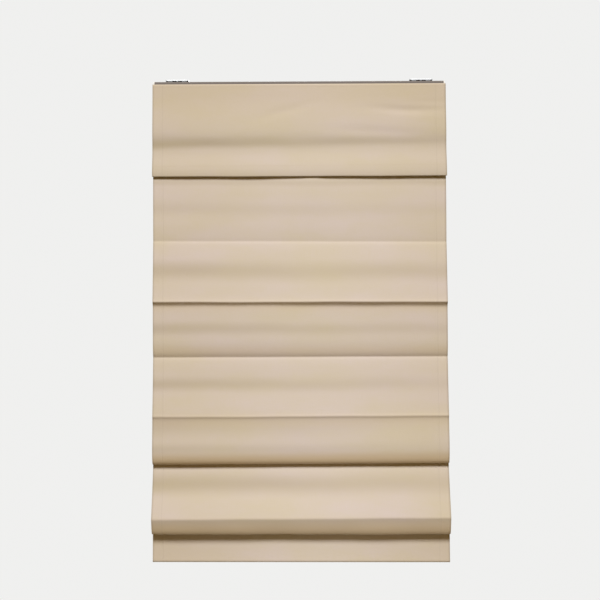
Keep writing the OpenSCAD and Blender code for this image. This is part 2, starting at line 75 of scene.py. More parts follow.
SHAFT = next(j for j in frame["joints"] if j["name"] == "shaft_turn")["pos_m"]
DROP = -SHADE_LOW.z
SHADE_WIDTH = SHADE_HIGH.x - SHADE_LOW.x

# Fold lines of the cloth from its head to its foot: shares of the deepest reach and of the drop
FOLDS = {
    "ridge_0": (0.07, 0.2138),
    "valley_1": (0, 0.3412),
    "ridge_1": (0.42, 0.4672),
    "valley_2": (0, 0.5806),
    "ridge_2": (0.47, 0.7023),
    "belly": (0.50, 0.7830),
    "valley_3": (0, 0.7967),
    "ridge_3": (1, 0.9091),
    "underside": (0.685, 0.9368),
    "back_rise": (0.25, 0.9211),
    "valley_4": (0, 0.8713),
    "tuck_1": (0.205, 0.4812),
}

# How much lower a fold line lies at the right side than at the left, in metres
SLOPES = {"valley_1": 0.0038, "ridge_1": 0.0024, "tuck_1": 0.0024, "underside": 0.002, "back_rise": 0.002}

# Soft dark bands across the cloth, storage creases that also carry painted shade under the valance, below a
# ridge and on the lowest fold's underside: share of the drop, spread, darkness at the left and at the right
CREASE_AND_SHADE_BANDS = (
    (0.2165, 0.011, 0.18, 0.24),
    (0.2755, 0.018, 0.08, 0.06),
    (0.4037, 0.028, 0.34, 0.21),
    (0.5234, 0.018, 0.24, 0.10),
    (0.6356, 0.020, 0.34, 0.10),
    (0.7180, 0.034, 0.30, 0.04),
    (0.7660, 0.014, 0.18, 0.00),
    (0.8390, 0.032, 0.42, 0.22),
    (0.9368, 0.032, 0.26, 0.00),
)

# Painted shade: warmer, darker bands where the folds shade the cloth: share of the drop, spread, strength
FOLD_SHADE_BANDS = (
    (0.4760, 0.018, 0.3),
    (0.5690, 0.018, 0.3),
    (0.7120, 0.020, 0.2),
    (0.7930, 0.024, 1),
    (0.9368, 0.038, 1),
)

# The same for the valance: a crease band that also carries painted shade, given by its distance below its
# top, and painted shade at its top
VALANCE_CREASE_AND_SHADE = (0.1185, 0.016, 0.40, 0.04)
VALANCE_TOP_SHADE = (0, 0.12, 0.2)

# Tints of the dye: pale and sandy patches, crease bands with painted shade, warmer painted shade in the
# folds, painted shade at the sides
PALE = (1.012, 1.008, 1.085)
SANDY = (0.973, 0.977, 0.87)
CREASE_AND_SHADE_TINT = (0.53, 0.485, 0.28)
FOLD_SHADE_TINT = (1.01, 0.93, 0.74)
SIDE_SHADE_TINT = (0.946, 0.935, 0.894)
SIDE_SHADE_MIDDLE = 0.56     # where the painted side shade is lightest, as a share of its width

SKIRT_RUN = 14          # the run that starts the skirt, below the lowest batten
SKIRT_PAINTED_LIGHT = 1.055       # painted light: how much paler the skirt's dye is, to look more lit than the folds above it
SKIRT_SIDE_SHADE = 2         # how much stronger the painted side shade is on the skirt
VALANCE_FRONT = 70      # rows of the valance before it turns up behind
VALANCE_SEAM = 0.0045   # distance of its seam below its top
VALANCE_HEM = 0.0225    # height of its hem's seam above its foot
VALANCE_TURN = 0.025    # height of the hem that it turns up behind
HEM_COLUMNS = 5         # columns of points across a side hem
HEM_GAUGE = 0.0002      # thickness of the layer that stands for a side hem
HEM_LIFT = 0.00015      # distance of that layer's middle behind the cloth's back
TAPE_ROWS = 4           # rows of a side hem left unsewn on each side of a tape
HEM_SEAM = 0.0125       # height of the seam over the bar
HEM_RISE = 0.018        # height of the hem's top over the bar
HEM_PLAY = 0.0003       # play of the bar in its hem
FOOT_LEAN = 0.0015      # how far the foot stands in front of the hem's top
FOOT_SAG = 0.0004       # how far the foot hangs below its place
FOOT_SLOPE = 0.0016     # how much lower it hangs at the right than in the middle
LAYER_GAP = 0.0002      # gap between two layers of cloth
TAPE_COLUMNS = 81       # columns of points across a batten tape
THREAD_PITCH = 0.0006   # distance between the strands of sewing thread
RING_THREAD = 0.00025   # radius of the thread that holds a ring
CORD_PITCH = 0.0021     # distance between the strands of a lift cord
BATTENS = range(1, 5)
HANDS = ("left", "right")

# Stage: the floor's disc, what the lamps aim at, and each lamp's place and diameter
FLOOR_RADIUS, FLOOR_HEIGHT, FLOOR_SIDES = 0.9, -2.1, 96
LAMP_AIM = Vector((0, 0, -0.45))
KEY_LAMP = Vector((-0.2, -5.5, 4.52)), 2.6
BACK_LAMP = Vector((0.6, 2.4, 1.0)), 1.6


def colour_setting(name, thing, default):
    return FloatVectorProperty(
        name=name, description=f"Colour of the {thing}", default=default,
        subtype="COLOR", size=3, min=0, max=1)


def setting(name, description, default, unit="LENGTH"):
    return FloatProperty(name=name, description=description, default=default, unit=unit)


class ClothSettings(bpy.types.PropertyGroup):
    """Sizes and colours of the shade cloth and of the valance"""
    colour: colour_setting("Cloth", "cloth", (0.639, 0.565, 0.501))
    # Painted shade: the valance's colour is the cloth's, made darker and yellower
    valance_shaded_colour: colour_setting("Valance", "valance, a little sunned", (0.580, 0.510, 0.436))
    thickness: setting("Thickness", "Thickness of the cloth", 0.0008)
    reach: setting("Reach", "Reach of the deepest fold in front of the fold backs", 0.038)
    fold_radius: setting("Fold radius", "Radius where a fold closes on itself", 0.001)
    crease: setting("Crease", "Length of cloth in which a fold turns, on each side of its line", 0.0025)
    dent: setting("Storage crease", "Depth of the soft crease half way down a panel", 0.0008)
    stray: setting("Stray", "How far fold lines stray from straight", 0.0007)
    thread_pitch: setting("Thread pitch", "Distance between the threads of the weave", 0.0007)
    side_hem: setting("Side hem", "Width of the hems turned in at the sides", 0.02)
    columns: IntProperty(
        name="Columns", description="Columns of faces between the side hems", default=96, min=8)


class TrimSettings(bpy.types.PropertyGroup):
    """Sizes and colours of the threads, tapes and cords"""
    thread_colour: colour_setting("Thread", "sewing thread", (0.60, 0.49, 0.375))
    stitch_pitch: setting("Stitch pitch", "Distance from stitch to stitch", 0.0036)
    stitch_length: setting("Stitch length", "Length of a stitch that shows", 0.0027)
    thread_radius: setting("Thread radius", "Radius of the sewing thread", 0.00018)
    tape_colour: colour_setting("Tape", "batten tapes", (0.66, 0.58, 0.48))
    tape_gauge: setting("Tape thickness", "Thickness of one layer of batten tape", 0.00048)
    cord_colour: colour_setting("Cord", "lift cords", (0.78, 0.75, 0.68))
    cord_lay: setting("Cord lay", "Length in which a cord's strands go once round", 0.009)
    spare_turns: setting("Spare turns", "Turns of cord left on a spool while the blind is down", 3, "NONE")


class HardwareSettings(bpy.types.PropertyGroup):
    """Colours of the hard parts"""
    # Painted shadow: the rail is dark to stand for the shadow gap above the valance
    rail_shadow_colour: colour_setting("Rail paint", "head rail's paint", (0.17, 0.148, 0.137))
    white_colour: colour_setting("White plastic", "white moulded parts", (0.78, 0.77, 0.73))
    dark_colour: colour_setting("Dark plastic", "dark moulded parts", (0.045, 0.047, 0.052))
    rod_colour: colour_setting("Battens", "glass-fibre battens", (0.70, 0.71, 0.60))
    zinc_colour: colour_setting("Zinc", "plated brackets and shafts", (0.62, 0.63, 0.64))
    spring_colour: colour_setting("Spring", "spring's steel", (0.36, 0.38, 0.42))
    bar_colour: colour_setting("Bar", "bar's aluminium", (0.66, 0.67, 0.68))
    hook_colour: colour_setting("Hooks", "hook strip", (0.76, 0.75, 0.72))
    loop_colour: colour_setting("Loops", "loop strip", (0.70, 0.64, 0.55))


class StageSettings(bpy.types.PropertyGroup):
    """Camera, lamps, floor and backdrop"""
    distance: setting("Distance", "Distance of the camera in front of the origin", 2.7)
    frame_height: setting("Frame height", "Height of what the picture takes in at the cloth", 1.1916)
    aim_height: setting("Aim height", "Height of the middle of the picture", -0.4437)
    aim_side: setting("Aim sideways", "Place across of the middle of the picture", -0.0009)
    pitch: setting("Pitch", "Upward tilt of the camera", math.radians(2.7), "ROTATION")
    roll: setting("Roll", "Turn of the camera about its view", math.radians(0.28), "ROTATION")
    key_power: setting("Key lamp", "Power of the lamp above the front", 602, "NONE")
    back_power: setting("Back lamp", "Power of the lamp behind", 60, "NONE")
    ambient: colour_setting("Ambient", "light from all round", (0.19, 0.12, 0.03))
    backdrop: colour_setting("Backdrop", "backdrop", (0.87, 0.87, 0.86))
    floor: colour_setting("Floor", "floor", (0.81, 0.868, 0.955))


class Socket:
    """An output socket that takes part in Python sums: an expression adds its Math nodes."""

    def __init__(self, tree, socket=None):
        self.tree = tree
        self.socket = socket

    def node(self, kind, inputs=None, settings=None, output=0):
        """Adds a node, with its settings made before its sockets get their values or links."""
        node = self.tree.nodes.new(kind)
        for key, value in (settings or {}).items():
            setattr(node, key, value)
        for key, value in (inputs or {}).items():
            if isinstance(value, Socket):
                self.tree.links.new(value.socket, node.inputs[key])
            else:
                node.inputs[key].default_value = value
        return Socket(self.tree, node.outputs[output] if node.outputs else None)

    def math(self, operation, *terms):
        return self.node("ShaderNodeMath", dict(enumerate(terms)), {"operation": operation})

    def __add__(self, other):
        return self.math("ADD", self, other)

    def __radd__(self, other):
        return self.math("ADD", other, self)

    def __sub__(self, other):
        return self.math("SUBTRACT", self, other)

    def __rsub__(self, other):
        return self.math("SUBTRACT", other, self)

    def __mul__(self, other):
        return self.math("MULTIPLY", self, other)

    def __rmul__(self, other):
        return self.math("MULTIPLY", other, self)

    def sine(self):
        return self.math("SINE", self)

    def least(self, other):
        return self.math("MINIMUM", self, other)

    def hump(self, middle, width):
        """1 at the middle, falling smoothly to 0 at the width on each side."""
        away = self.math("ABSOLUTE", self - middle)
        fall = {"Value": away, "From Max": width, "To Min": 1, "To Max": 0}
        return self.node("ShaderNodeMapRange", fall, {"interpolation_type": "SMOOTHSTEP"})

    def mix(self, first, second, blend="MIX"):
        """A colour between two others, or their product, with this value as the share of the second."""
        kind = {"data_type": "RGBA", "blend_type": blend}
        return self.node("ShaderNodeMix", {0: self, 6: first, 7: second}, kind, 2)


def shaded(colour, share):
    """A colour made lighter or darker, with its alpha."""
    return (*(min(1, c * share) for c in colour[:3]), 1)


def tinted(colour, tint):
    """A colour with each channel scaled on its own, with its alpha."""
    return (*(c * t for c, t in zip(colour, tint)), 1)


def finish(name, build, *sizes):
    """A material whose shader gets from build(source, *sizes) the values and links of its sockets."""
    material = bpy.data.materials.new(name)
    material.use_nodes = True
    tree = material.node_tree
    tree.nodes.clear()
    source = Socket(tree)
    shader = source.node("ShaderNodeBsdfPrincipled", build(source, *sizes))
    source.node("ShaderNodeOutputMaterial", {"Surface": shader})
    return material


def noise(source, place, scale, detail=2, roughness=0.5, stretch=(1, 1, 1)):
    """A value from 0 to 1 that wanders over a place, stretched along its axes."""
    laid = source.node("ShaderNodeMapping", {"Vector": place, "Scale": stretch})
    return source.node("ShaderNodeTexNoise", {
        "Vector": laid, "Scale": scale, "Detail": detail, "Roughness": roughness})


def bump(source, height, distance, strength):
    return source.node("ShaderNodeBump", {"Strength": strength, "Distance": distance, "Height": height})


def object_place(source):
    return source.node("ShaderNodeTexCoord", output=3)


def axes(source, place):
    """The three numbers of a place."""
    return [source.node("ShaderNodeSeparateXYZ", {0: place}, output=axis) for axis in range(3)]


# Finishes: each gives the shader's sockets

def cloth_finish(source, dye, settings, width, length, hemmed, crease_and_shade_bands=(), fold_shade_bands=(), sides=1):
    """Plain weave, laid on the cloth's own flat map, with crease bands that also carry painted shade, and
    warmer painted shade where the folds shade the cloth.
    """
    share, rise, _ = axes(source, source.node("ShaderNodeUVMap", settings={"uv_map": "Flat"}))
    across, up = share * width, rise * length
    place = source.node("ShaderNodeCombineXYZ", {0: across, 1: up})
    turn = math.pi / settings.thread_pitch
    weave = (across * turn).sine() * (up * turn).sine()
    slub = noise(source, place, 40, 3, 0.6, (1, 22, 1)) + noise(source, place, 40, 3, 0.6, (22, 1, 1))
    mottle = noise(source, place, 8, 3, 0.55, (0.6, 1.5, 1))
    grain = noise(source, place, 900, 2, 0.6)
    tone = source.node("ShaderNodeMapRange", {
        "Value": mottle * 0.62 + slub * 0.19, "From Min": 0.36, "From Max": 0.64})
    colour = tone.mix(tinted(dye, SANDY), tinted(dye, PALE))
    wavy = up + (noise(source, place, 5, 2, 0.5, (1, 0.02, 1)) - 0.5) * 0.014
    # Crease bands, partly painted shade under the valance and the folds
    for down, spread, left, right in crease_and_shade_bands:
        mark = wavy.hump(length - down, spread) * (share * (right - left) + left) * (mottle * 0.9 + 0.55)
        colour = mark.mix(colour, tinted(dye, CREASE_AND_SHADE_TINT))
    # Painted shade: a warmer, darker tint where the folds shade the cloth
    for down, spread, strength in fold_shade_bands:
        mark = up.hump(length - down, spread) * strength
        colour = mark.mix(colour, tinted(dye, FOLD_SHADE_TINT))
    height = weave * 0.35 + slub * 0.6 + grain * 0.25
    if hemmed:
        # Painted shade: a darker line along each side hem's seam, in the groove that the bump sinks there
        seam = across.least(width - across).hump(settings.side_hem, 0.0016)
        colour = (seam * 0.10).mix(colour, shaded(dye, 0.6))
        height = height - seam * 2.2
        # Painted shade: darker and yellower towards the sides, lightest near the middle
        tint = (*(1 - sides * (1 - t) for t in SIDE_SHADE_TINT), 1)
        colour = (1 - share.hump(SIDE_SHADE_MIDDLE, SIDE_SHADE_MIDDLE)).mix(colour, tint, "MULTIPLY")
    return {
        "Base Color": colour,
        "Roughness": 0.86 + grain * 0.1,
        "Normal": bump(source, height, 0.00022, 0.5),
        "Specular IOR Level": 0.25,
        "Sheen Weight": 0.06,
        "Sheen Roughness": 0.5,
    }


def tape_finish(source, colour):
    """Woven tape: a fine twill across its length."""
    place = object_place(source)
    x, y, z = axes(source, place)
    twill = ((x + y + z) * 5200).sine()
    rib = (x * 9000).sine()
    wear = noise(source, place, 160, 3)
    return {
        "Base Color": (wear * 0.7 + twill * 0.12).mix(shaded(colour, 0.86), shaded(colour, 1.08)),
        "Roughness": 0.84 + wear * 0.1,
        "Normal": bump(source, twill * 0.6 + rib * 0.4, 0.00015, 0.6),
        "Specular IOR Level": 0.25,
    }


def thread_finish(source, colour, pitch):
    """Spun thread or cord: strands that wind round, with loose fibres."""
    place = object_place(source)
    x, y, z = axes(source, place)
    strand = ((x + y + z) * (2 * math.pi / pitch)).sine()
    fibre = noise(source, place, 2400, 3)
    return {
        "Base Color": (fibre * 0.7 + strand * 0.15).mix(shaded(colour, 0.82), shaded(colour, 1.1)),
        "Roughness": 0.7 + fibre * 0.2,
        "Normal": bump(source, strand * 0.5 + fibre * 0.5, 0.0001, 0.6),
    }


def pile_finish(source, colour, scale):
    """Hook or loop strip: a dense pile of small heads."""
    place = object_place(source)
    heads = source.node("ShaderNodeTexVoronoi", {"Vector": place, "Scale": scale})
    fuzz = noise(source, place, scale * 0.8, 3)
    return {
        "Base Color": heads.mix(shaded(colour, 1.08), shaded(colour, 0.72)),
        "Roughness": 0.8 + fuzz * 0.15,
        "Normal": bump(source, fuzz - heads, 0.0004, 0.8),
        "Sheen Weight": 0.2,
    }


def paint_finish(source, colour):
    """Sprayed paint on steel: a slight orange peel, duller in patches."""
    place = object_place(source)
    peel = noise(source, place, 520, 2)
    patch = noise(source, place, 22, 4)
    return {
        "Base Color": patch.mix(shaded(colour, 0.93), shaded(colour, 1.06)),
        "Roughness": 0.5 + patch * 0.2,
        "Normal": bump(source, peel, 0.0002, 0.25),
        "Specular IOR Level": 0.25,
    }


def plated_finish(source, colour, spangle, grain, roughness):
    """Plated or bare metal: spangles or a grain drawn along its length, with dull patches."""
    place = object_place(source)
    cell = source.node("ShaderNodeTexVoronoi", {"Vector": place, "Scale": spangle}, output=1)
    bright = source.node("ShaderNodeRGBToBW", {0: cell})
    drawn = noise(source, place, 60, 3, 0.6, grain)
    dull = noise(source, place, 45, 4)
    tone = bright * 0.45 + drawn * 0.35 + dull * 0.2
    return {
        "Base Color": tone.mix(shaded(colour, 0.78), shaded(colour, 1.12)),
        "Metallic": 1.0,
        "Roughness": roughness + dull * 0.16 + drawn * 0.1,
        "Normal": bump(source, drawn, 0.0001, 0.3),
    }


def moulded_finish(source, colour, roughness):
    """Moulded plastic with a fine spark-eroded grain and slight flow marks."""
    place = object_place(source)
    grain = noise(source, place, 1800, 2)
    flow = noise(source, place, 35, 3, 0.5, (1, 3, 1))
    return {
        "Base Color": flow.mix(shaded(colour, 0.94), shaded(colour, 1.05)),
        "Roughness": roughness + grain * 0.12 + flow * 0.05,
        "Normal": bump(source, grain, 0.00008, 0.35),
    }


def fibre_finish(source, colour):
    """Drawn glass fibre: pale streaks along the rod under a thin glaze."""
    streak = noise(source, object_place(source), 1500, 3, 0.6, (0.012, 1, 1))
    return {
        "Base Color": streak.mix(shaded(colour, 0.84), shaded(colour, 1.14)),
        "Roughness": 0.28 + streak * 0.2,
        "Normal": bump(source, streak, 0.00008, 0.4),
        "Coat Weight": 0.3,
    }


def floor_finish(source, colour):
    """Matt floor, a little uneven in tone."""
    patch = noise(source, object_place(source), 3)
    return {"Base Color": patch.mix(shaded(colour, 0.98), shaded(colour, 1)), "Roughness": 0.9}


# Section paths: points as [reach to the front, height] for every column across the cloth

def heading(degrees):
    turn = math.radians(degrees)
    return np.array((math.sin(turn), -math.cos(turn)))


def creased(runs, i):
    return 0 <= i < len(runs) - 1 and abs(runs[i][3] - runs[i + 1][1]) > 1


def run_ends(runs, i, crease):
    start, leave, end, arrive = runs[i][:4]
    first = start + (crease if creased(runs, i - 1) else 0) * heading(leave)
    last = end - (crease if creased(runs, i) else 0) * heading(arrive)
    return first, last


def section(runs, crease):
    """Points down the cloth, row by row, for all its columns."""
    rows = []
    for i, (_, leave, end, arrive, pull, push, steps, dents) in enumerate(runs):
        a, d = run_ends(runs, i, crease)
        span = np.linalg.norm(d - a, axis=-1, keepdims=True)
        b = a + pull * span * heading(leave)
        c = d - push * span * heading(arrive)
        for k in range(0 if i == 0 or creased(runs, i - 1) else 1, steps + 1):
            t = k / steps
            row = (1 - t) ** 3 * a + 3 * t * (1 - t) ** 2 * b + 3 * t * t * (1 - t) * c + t ** 3 * d
            for depth, middle, width in dents:
                row = row - np.stack((depth * np.exp(-((t - middle) / width) ** 2), np.zeros(len(row))), -1)
            rows.append(row)
        if creased(runs, i):
            after = run_ends(runs, i + 1, crease)[0]
            for t in (0.2, 0.4, 0.6, 0.8):
                rows.append((1 - t) ** 2 * d + 2 * t * (1 - t) * end + t * t * after)
    return np.array(rows)


def beside(path, distance):
    """The path moved sideways, positive towards its front."""
    way = np.empty_like(path)
    way[1:-1] = path[2:] - path[:-2]
    way[0], way[-1] = path[1] - path[0], path[-1] - path[-2]
    side = np.stack((-way[..., 1], way[..., 0]), -1)
    return path + distance * side / np.linalg.norm(way, axis=-1, keepdims=True)


def along(path):
    """Length of cloth from the first row to each row, at the middle of the sheet."""
    steps = np.linalg.norm(np.diff(path[:, path.shape[1] // 2], axis=0), axis=-1)
    return np.concatenate(((0,), np.cumsum(steps)))


def stray(x, seed):
    """A smooth line that strays between about -1 and 1 across the blind."""
    dice = random.Random(seed)
    total = 0
    for waves, share in ((0.7, 0.5), (1.9, 0.32), (4.3, 0.18)):
        total = total + share * np.sin(2 * math.pi * (waves * x / SHADE_WIDTH + dice.random()))
    return total


def swell(x, middle, width):
    return np.exp(-((x - middle) / width) ** 2)


def columns_across(width, settings):
    """Places across the cloth, with a few columns of their own for the side hems."""
    hem = np.linspace(0, settings.side_hem, HEM_COLUMNS)
    inner = np.linspace(-width / 2 + settings.side_hem, width / 2 - settings.side_hem, settings.columns + 1)
    return np.concatenate((-width / 2 + hem[:-1], inner, width / 2 - hem[:-1][::-1]))


def cloth_line(settings):
    """Depth of the middle of the hanging cloth."""
    return STRIP_FRONT - settings.thickness / 2


def shade_runs(x, settings):
    """Runs of the shade cloth: start, heading, end, heading, pulls, steps and dents, for every column."""
    fold = {}
    for seed, (name, (reach_share, height_share)) in enumerate(FOLDS.items()):
        loose = 0.3 if name.startswith("valley") else 1
        reach = settings.reach * reach_share + loose * settings.stray * (1 + stray(x, seed))
        slope = SLOPES.get(name, 0) * x / SHADE_WIDTH
        height = loose * settings.stray * stray(x, seed + 50) - slope - DROP * height_share
        fold[name] = np.stack((reach, height), -1)
    # A bulge at the middle of the first ridge, a belly that hangs askew, a fuller underside at the left
    bulge = 0.0016 * swell(x, 0.006, 0.075) + 0.0014 * swell(x, 0.028, 0.022)
    fold["ridge_0"][:, 0] += bulge
    fold["belly"][:, 1] += 0.0012 * x / SHADE_HIGH.x
    fold["underside"][:, 0] += 0.0016 * swell(x, SHADE_LOW.x, 0.16)

    def fixed(reach, height):
        return np.stack((np.full(len(x), reach), np.full(len(x), height)), -1)

    # The cloth's head, the front of the lowest batten's fold and, with some play, the hem round the bar
    hem_r = (BAR_HIGH.y - BAR_LOW.y) / 2 + HEM_PLAY + settings.thickness / 2
    hem_reach = cloth_line(settings) - (BAR_LOW.y + BAR_HIGH.y) / 2 + hem_r
    hem_high = BAR_HIGH.z + HEM_RISE
    foot = fixed(hem_reach + FOOT_LEAN, SHADE_LOW.z + hem_r + settings.thickness / 2)
    foot[:, 1] -= FOOT_SAG + FOOT_SLOPE * (x / SHADE_HIGH.x)
    fold |= {
        "top": fixed(0, SHADE_HIGH.z),
        "rail": fixed(0, RAIL_LOW.z),
        "front_4": fold["valley_4"] + np.array((2 * settings.fold_radius, 0)),
        "hem_top": fixed(hem_reach, hem_high),
        "foot": foot,
        "foot_back": foot - 2 * np.array((hem_r + 2 * HEM_PLAY, 0)),
        "bar_back": fixed(hem_reach - 2 * hem_r, BAR_HIGH.z),
        "hem_end": fixed(hem_reach - settings.thickness - LAYER_GAP, hem_high),
    }
    gone = np.clip(0.5 - x / SHADE_WIDTH, 0, 1)
    depth = settings.dent * (0.55 + 0.75 * gone)

    def dents(seed, share=1.0, middle=0.5):
        sink = depth * share * (1 + 0.3 * stray(x, seed))
        return ((sink, middle + 0.03 * stray(x, seed + 1), 0.13 + 0.05 * (share > 1)),)

    runs = (
        ("top", 0, "rail", 0, 0.3, 0.3, 6, ()),
        ("rail", 0, "ridge_0", 3, 0.45, 0.4, 22, ((bulge / 2, 0.55, 0.22),)),
        ("ridge_0", 3, "valley_1", -10, 0.3, 0.1, 26, dents(101, 0.8)),
        ("valley_1", 22, "ridge_1", 24, 0.08, 0.08, 36, dents(103)),
        ("ridge_1", -56, "tuck_1", 0, 0.4, 0.45, 14, ()),
        ("tuck_1", 0, "valley_2", -34, 0.35, 0.19, 30, dents(105, 1.0, 0.46)),
        ("valley_2", 26, "ridge_2", 28, 0.08, 0.08, 36, dents(107, 1.5)),
        ("ridge_2", -32, "belly", -14, 0.14, 0.3, 26, ()),
        ("belly", -14, "valley_3", -116, 0.45, 0.56, 18, ()),
        ("valley_3", 6, "ridge_3", 21, 0.08, 0.1, 36, dents(109, 2.0)),
        ("ridge_3", -23, "underside", -34, 0.3, 0.3, 8, ()),
        ("underside", -34, "back_rise", -172, 0.6, 0.7, 16, ()),
        ("back_rise", -172, "front_4", -175, 0.3, 0.3, 12, ()),
        ("front_4", -175, "valley_4", 4, 0.66, 0.66, 8, ()),
        ("valley_4", 4, "hem_top", 0, 0.3, 0.3, 18, ()),
        ("hem_top", 0, "foot", 5, 0.3, 0.3, 14, ()),
        ("foot", 5, "foot_back", -180, 0.66, 0.66, 12, ()),
        ("foot_back", -180, "bar_back", -180, 0.3, 0.3, 6, ()),
        ("bar_back", -180, "hem_end", -180, 0.4, 0.4, 8, ()),
    )
    return [(fold[start], leave, fold[end], *rest) for start, leave, end, *rest in runs]


def valance_runs(x, settings):
    """Runs of the valance: a flat seam, a soft hollow, a roll and a hem turned up behind."""
    line = settings.thickness + LAYER_GAP
    height = VALANCE_HIGH.z - VALANCE_LOW.z
    reach = cloth_line(settings) - VALANCE_LOW.y - settings.thickness / 2
    r = settings.fold_radius
    side = x / VALANCE_HIGH.x

    def at(reach_line, share):
        fall = np.broadcast_to(VALANCE_HIGH.z - height * share, (len(x),))
        return np.stack((np.broadcast_to(reach_line, (len(x),)), fall), -1)

    low = at(reach * (0.93 + 0.07 * side) - 0.0006 * (1 + stray(x, 31)), 1)
    low[:, 1] += r + settings.thickness / 2 + 0.0018 + 0.0006 * stray(x, 37)
    hollow = at(reach * 0.28 + 0.0005 * stray(x, 33), 0.635 - 0.02 * side)
    seam = at(line, 0.12)
    fold = np.array((2 * r, 0))
    return [
        (at(line, 0), 0, seam, 0, 0.3, 0.3, 8, ()),
        (seam, 0, hollow, -10, 0.4, 0.3, 40, ()),
        (hollow, -10, low, -6, 0.35, 0.35, 26, ()),
        (low, -6, low - fold, -186, 0.66, 0.66, 8, ()),
        (low - fold, -186, low + np.array((-4 * r, VALANCE_TURN)), -176, 0.3, 0.3, 8, ()),
    ]


def valance_wrinkles(x, path):
    """How far soft creases push the valance back, for every row and column: a band and short wrinkles."""
    z = path[..., 1]
    x = np.broadcast_to(x, z.shape)
    left = np.clip(0.55 - x / (VALANCE_HIGH.x - VALANCE_LOW.x), 0, 1)
    band = VALANCE_HIGH.z - 0.1175 + 0.004 * stray(x, 41) + 0.012 * np.clip(x - 0.05, 0, 1)
    push = 0.0010 * (0.35 + 0.9 * left) * swell(z, band, 0.011)
    arc = VALANCE_HIGH.z - 0.047 - 0.10 * np.clip(x - 0.14, 0, 1) + 0.7 * np.clip(x - 0.17, 0, 1) ** 2
    push += 0.0018 * swell(z, arc, 0.009) * swell(x, 0.215, 0.07)
    # Short wrinkles: depth, how far below the top, slope, spread, middle and width across
    for depth, fall, slope, spread, middle, width in (
            (0.0010, 0.0360, 0, 0.006, 0.265, 0.05),
            (0.0010, 0.0876, -0.06, 0.010, 0.16, 0.09),
            (0.0008, 0.0450, 0.3, 0.010, -0.02, 0.06)):
        push += depth * swell(z, VALANCE_HIGH.z - fall + slope * x, spread) * swell(x, middle, width)
    loose = np.clip((VALANCE_HIGH.z - 0.024 - z) / 0.03, 0, 1)
    return push * loose


def sheet_object(name, x, path, depth, material, thickness):
    """A sheet of cloth through its section paths, with a flat map, given thickness both ways."""
    rows, cols = path.shape[:2]
    points = np.stack((np.broadcast_to(x, (rows, cols)), depth - path[..., 0], path[..., 1]), -1)
    place = np.arange(rows * cols).reshape(rows, cols)
    quads = np.stack((place[:-1, :-1], place[1:, :-1], place[1:, 1:], place[:-1, 1:]), -1).reshape(-1, 4)
    mesh = bpy.data.meshes.new(name)
    mesh.from_pydata(points.reshape(-1, 3).tolist(), [], quads.tolist())
    length = along(path)
    flat = np.stack(np.meshgrid((x - x[0]) / (x[-1] - x[0]), 1 - length / length[-1]), -1)
    mesh.uv_layers.new(name="Flat").data.foreach_set("uv", flat.reshape(-1, 2)[quads.reshape(-1)].ravel())
    mesh.shade_smooth()
    piece = show(name, mesh, material)
    wall = piece.modifiers.new("Thickness", "SOLIDIFY")
    wall.thickness = thickness
    wall.offset = 0
    return piece


def show(name, mesh, material=None):
    piece = bpy.data.objects.new(name, mesh)
    bpy.context.scene.collection.objects.link(piece)
    if material and not mesh.materials:
        mesh.materials.append(material)
    return piece


def node_tree(name, sizes):
    """A geometry tree with a Geometry socket each way, named inputs for its sizes, and a material."""
    tree = bpy.data.node_groups.new(name, "GeometryNodeTree")
    tree.interface.new_socket("Geometry", in_out="INPUT", socket_type="NodeSocketGeometry")
    for size in sizes:
        tree.interface.new_socket(size, in_out="INPUT", socket_type="NodeSocketFloat")
    tree.interface.new_socket("Material", in_out="INPUT", socket_type="NodeSocketMaterial")
    tree.interface.new_socket("Geometry", in_out="OUTPUT", socket_type="NodeSocketGeometry")
    entry = tree.nodes.new("NodeGroupInput")
    return Socket(tree), {socket.name: Socket(tree, socket) for socket in entry.outputs if socket.name}


def end_tree(source, made, material):
    real = source.node("GeometryNodeRealizeInstances", {"Geometry": made})
    dressed = source.node("GeometryNodeSetMaterial", {"Geometry": real, "Material": material})
    source.node("NodeGroupOutput", {"Geometry": dressed})
    return source.tree


def points_along(source, size):
    """Points at a pitch along the tree's line, and the way that each one faces."""
    line = source.node("GeometryNodeMeshToCurve", {"Mesh": size["Geometry"]})
    points = source.node(
        "GeometryNodeCurveToPoints", {"Curve": line, "Length": size["Pitch"]}, {"mode": "LENGTH"})
    return points, Socket(source.tree, points.socket.node.outputs["Rotation"])


def stitch_tree():
    """Stitches laid end to end along a line."""
    source, size = node_tree("Stitches", ("Pitch", "Length", "Radius"))
    points, turn = points_along(source, size)
    stitch = source.node("GeometryNodeMeshUVSphere", {"Segments": 6, "Rings": 5, "Radius": 0.5})
    thick = size["Radius"] * 2
    shape = source.node("ShaderNodeCombineXYZ", {0: thick, 1: thick, 2: size["Length"]})
    made = source.node("GeometryNodeInstanceOnPoints", {
        "Points": points, "Instance": stitch, "Rotation": turn, "Scale": shape})
    return end_tree(source, made, size["Material"])


def wrap_tree():
    """Turns of thread round a wire, side by side along it."""
    source, size = node_tree("Thread turns", ("Pitch", "Wrap radius", "Radius"))
    points, turn = points_along(source, size)
    loop = source.node("GeometryNodeCurvePrimitiveCircle", {"Resolution": 14, "Radius": size["Wrap radius"]})
    thread = source.node("GeometryNodeCurvePrimitiveCircle", {"Resolution": 6, "Radius": size["Radius"]})
    ring = source.node("GeometryNodeCurveToMesh", {"Curve": loop, "Profile Curve": thread})
    made = source.node("GeometryNodeInstanceOnPoints", {
        "Points": points, "Instance": ring, "Rotation": turn})
    return end_tree(source, made, size["Material"])


